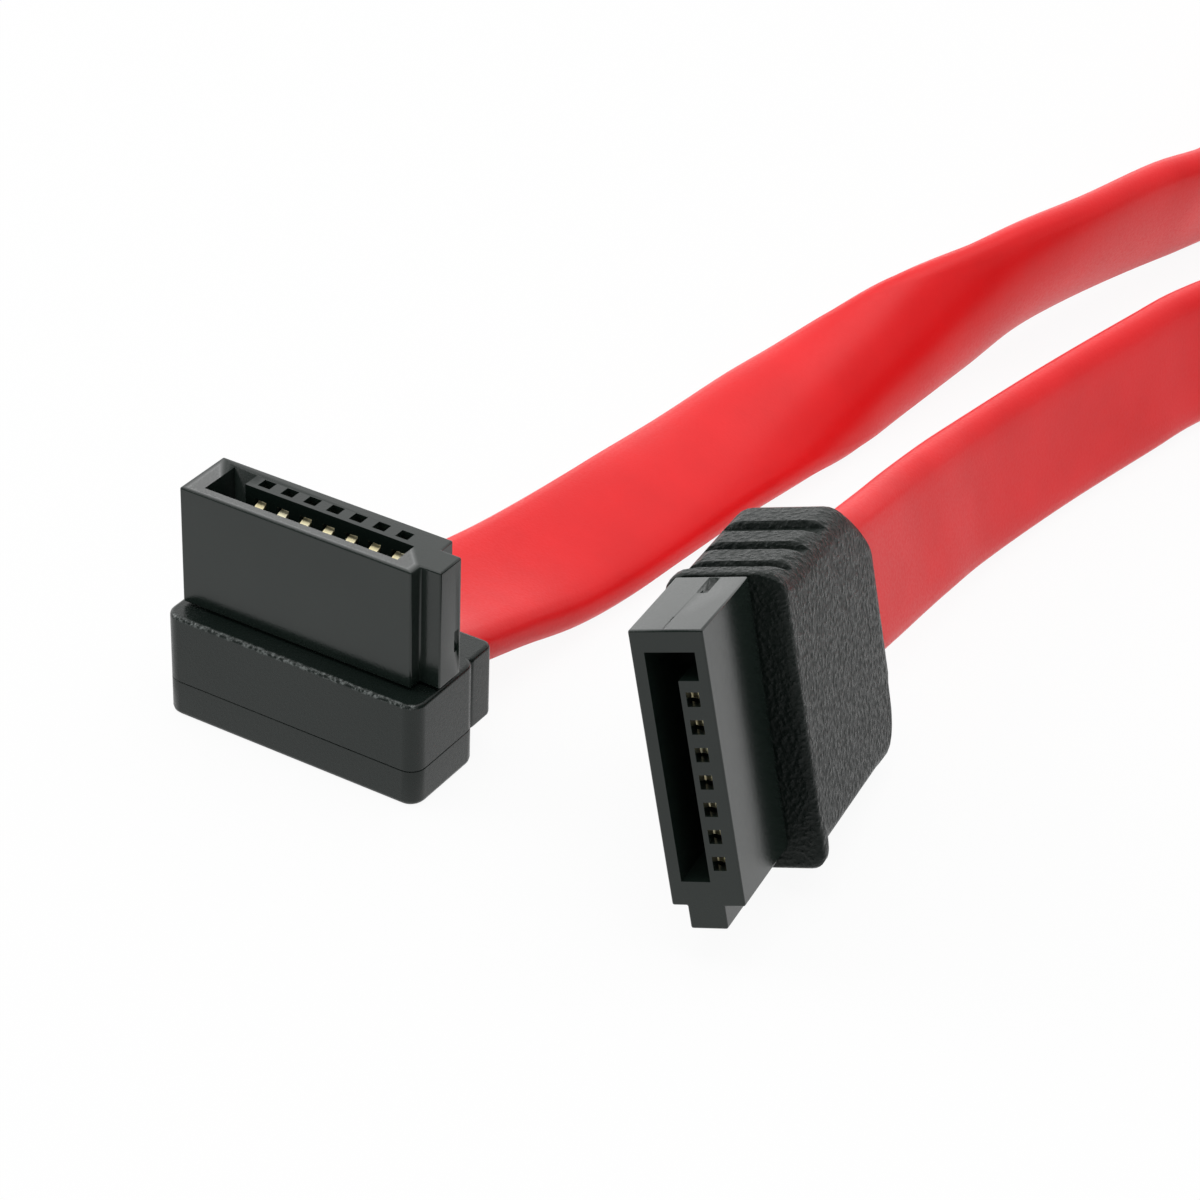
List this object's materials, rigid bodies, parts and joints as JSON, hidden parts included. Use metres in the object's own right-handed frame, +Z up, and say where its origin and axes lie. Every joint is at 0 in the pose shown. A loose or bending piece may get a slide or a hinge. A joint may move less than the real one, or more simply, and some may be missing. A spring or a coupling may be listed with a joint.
{
  "type": "sata data cable",
  "caption": "Flat red data cable with black keyed plugs: one leaves the cable straight on, the other at a right angle; gold contacts in L-shaped slots.",
  "frame": {"origin": "centre of the right-angle plug's flat base", "axes": "+X along that plug's long side towards its key rib, +Y the way the cable leaves it, +Z up, out of its mating face"},
  "size_m": [0.0781, 0.1844, 0.0158],
  "materials": {
    "housing_black": "semi-gloss moulded",
    "grained_black": "fine grained, worn on the edges",
    "jacket_red": "satin soft vinyl",
    "contact_gold": "gold plated, polished",
    "core_white": "smooth insulation",
    "drain_tinned": "tinned wire"
  },
  "bodies": {
    "root": {"cable_jacket": "jacket_red", "angled_housing": "housing_black", "angled_hood": "grained_black", "angled_cover": "grained_black", "straight_housing": "housing_black", "straight_overmould": "grained_black", "straight_contact_1": "contact_gold", "straight_contact_2": "contact_gold", "straight_contact_3": "contact_gold", "straight_contact_4": "contact_gold", "straight_contact_5": "contact_gold", "straight_contact_6": "contact_gold", "straight_contact_7": "contact_gold", "angled_contact_1": "contact_gold", "angled_contact_2": "contact_gold", "angled_contact_3": "contact_gold", "angled_contact_4": "contact_gold", "angled_contact_5": "contact_gold", "angled_contact_6": "contact_gold", "angled_contact_7": "contact_gold", "straight_core_1": "core_white", "straight_core_2": "core_white", "straight_core_3": "core_white", "straight_core_4": "core_white", "angled_core_1": "core_white", "angled_core_2": "core_white", "angled_core_3": "core_white", "angled_core_4": "core_white", "straight_drain_1": "drain_tinned", "straight_drain_2": "drain_tinned", "straight_drain_3": "drain_tinned", "angled_drain_1": "drain_tinned", "angled_drain_2": "drain_tinned", "angled_drain_3": "drain_tinned"}
  },
  "joints": []
}
